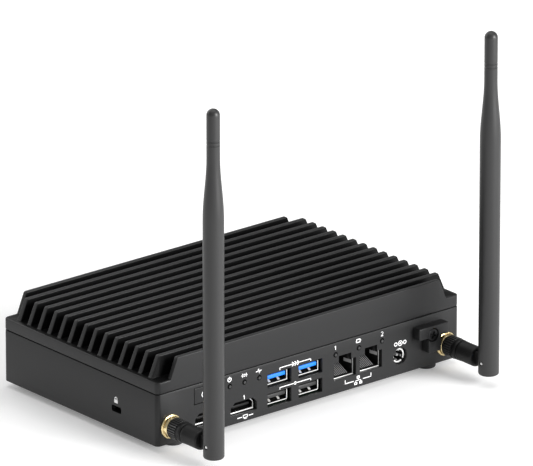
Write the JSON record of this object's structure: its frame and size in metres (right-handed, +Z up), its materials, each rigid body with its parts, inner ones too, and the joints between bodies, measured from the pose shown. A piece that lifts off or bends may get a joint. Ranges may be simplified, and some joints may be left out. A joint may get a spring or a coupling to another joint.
{
  "type": "mini pc",
  "caption": "Fanless mini computer: black finned heatsink cover on a low chassis with a connector panel, rubber feet and swivelling, folding rod antennas.",
  "frame": {"origin": "under the middle of the bounding box, on the surface that the feet stand on", "axes": "+X along the connector panel from the power button towards the power jack, +Y from the connector panel towards the rear, +Z up"},
  "size_m": [0.1928, 0.1572, 0.1844],
  "materials": {
    "case_paint": "fine black powder coat, satin",
    "steel_black": "black oxide steel",
    "steel_bright": "bright tin-plated steel",
    "aluminium_block": "milled",
    "brass": "gold-plated brass",
    "plastic_black": "moulded, matt",
    "antenna_plastic": "moulded, satin",
    "plastic_blue": "moulded, bright blue",
    "plastic_clear": "translucent light guide",
    "rubber": "matt",
    "circuit_board": "solder mask",
    "chip": "moulded package",
    "thermal_pad": "soft silicone pad"
  },
  "bodies": {
    "case": {"heatsink_cover": "case_paint", "chassis": "case_paint", "bottom_cover": "case_paint", "rubber_foot_1": "rubber", "case_screw_1": "steel_black", "board_screw_1": "steel_bright", "rubber_foot_2": "rubber", "case_screw_2": "steel_black", "board_screw_2": "steel_bright", "rubber_foot_3": "rubber", "case_screw_3": "steel_black", "board_screw_3": "steel_bright", "rubber_foot_4": "rubber", "case_screw_4": "steel_black", "board_screw_4": "steel_bright", "mainboard": "circuit_board", "processor": "chip", "thermal_pad": "thermal_pad", "heat_transfer_block": "aluminium_block", "memory_socket": "plastic_black", "memory_module": "circuit_board", "solid_state_drive": "chip", "wireless_card": "circuit_board", "antenna_lead_left": "plastic_black", "antenna_lead_right": "plastic_black", "power_jack": "plastic_black", "power_switch": "circuit_board", "status_light_guide": "plastic_clear", "network_light_guide": "plastic_clear", "cable_hook": "plastic_black", "cable_hook_screw": "steel_black", "usb_shell_left": "steel_bright", "usb_tongue_left_lower": "plastic_black", "usb_tongue_left_upper": "plastic_blue", "usb_shell_right": "steel_bright", "usb_tongue_right_lower": "plastic_black", "usb_tongue_right_upper": "plastic_blue", "video_shell_1": "steel_bright", "video_tongue_1": "plastic_black", "network_shield_1": "steel_bright", "network_insert_1": "plastic_black", "video_shell_2": "steel_bright", "video_tongue_2": "plastic_black", "network_shield_2": "steel_bright", "network_insert_2": "plastic_black", "antenna_connector_left": "brass", "connector_washer_left": "brass", "connector_nut_left": "brass", "swivel_nut_left": "plastic_black", "antenna_connector_right": "brass", "connector_washer_right": "brass", "connector_nut_right": "brass", "swivel_nut_right": "plastic_black"},
    "power_button": {"power_button": "case_paint"},
    "left_swivel": {"swivel_barrel_left": "plastic_black", "fold_pin_left": "steel_bright"},
    "left_antenna": {"antenna_left": "antenna_plastic"},
    "right_swivel": {"swivel_barrel_right": "plastic_black", "fold_pin_right": "steel_bright"},
    "right_antenna": {"antenna_right": "antenna_plastic"}
  },
  "joints": [
    {"name": "power_button_press", "type": "slide", "parent": "case", "child": "power_button", "axis": [0, 1, 0], "range_m": [0, 0.0007], "stiffness_N_per_m": 300},
    {"name": "left_antenna_swivel", "type": "hinge", "parent": "case", "child": "left_swivel", "pos_m": [-0.0881, -0.06055, 0.0124], "axis": [0, 1, 0], "range_deg": [-90, 60]},
    {"name": "left_antenna_fold", "type": "hinge", "parent": "left_swivel", "child": "left_antenna", "pos_m": [-0.0881, -0.07335, 0.0124], "axis": [1, 0, 0], "range_deg": [0, 90]},
    {"name": "right_antenna_swivel", "type": "hinge", "parent": "case", "child": "right_swivel", "pos_m": [0.0874, -0.06055, 0.0124], "axis": [0, 1, 0], "range_deg": [-60, 90]},
    {"name": "right_antenna_fold", "type": "hinge", "parent": "right_swivel", "child": "right_antenna", "pos_m": [0.0874, -0.07335, 0.0124], "axis": [1, 0, 0], "range_deg": [0, 90]}
  ]
}
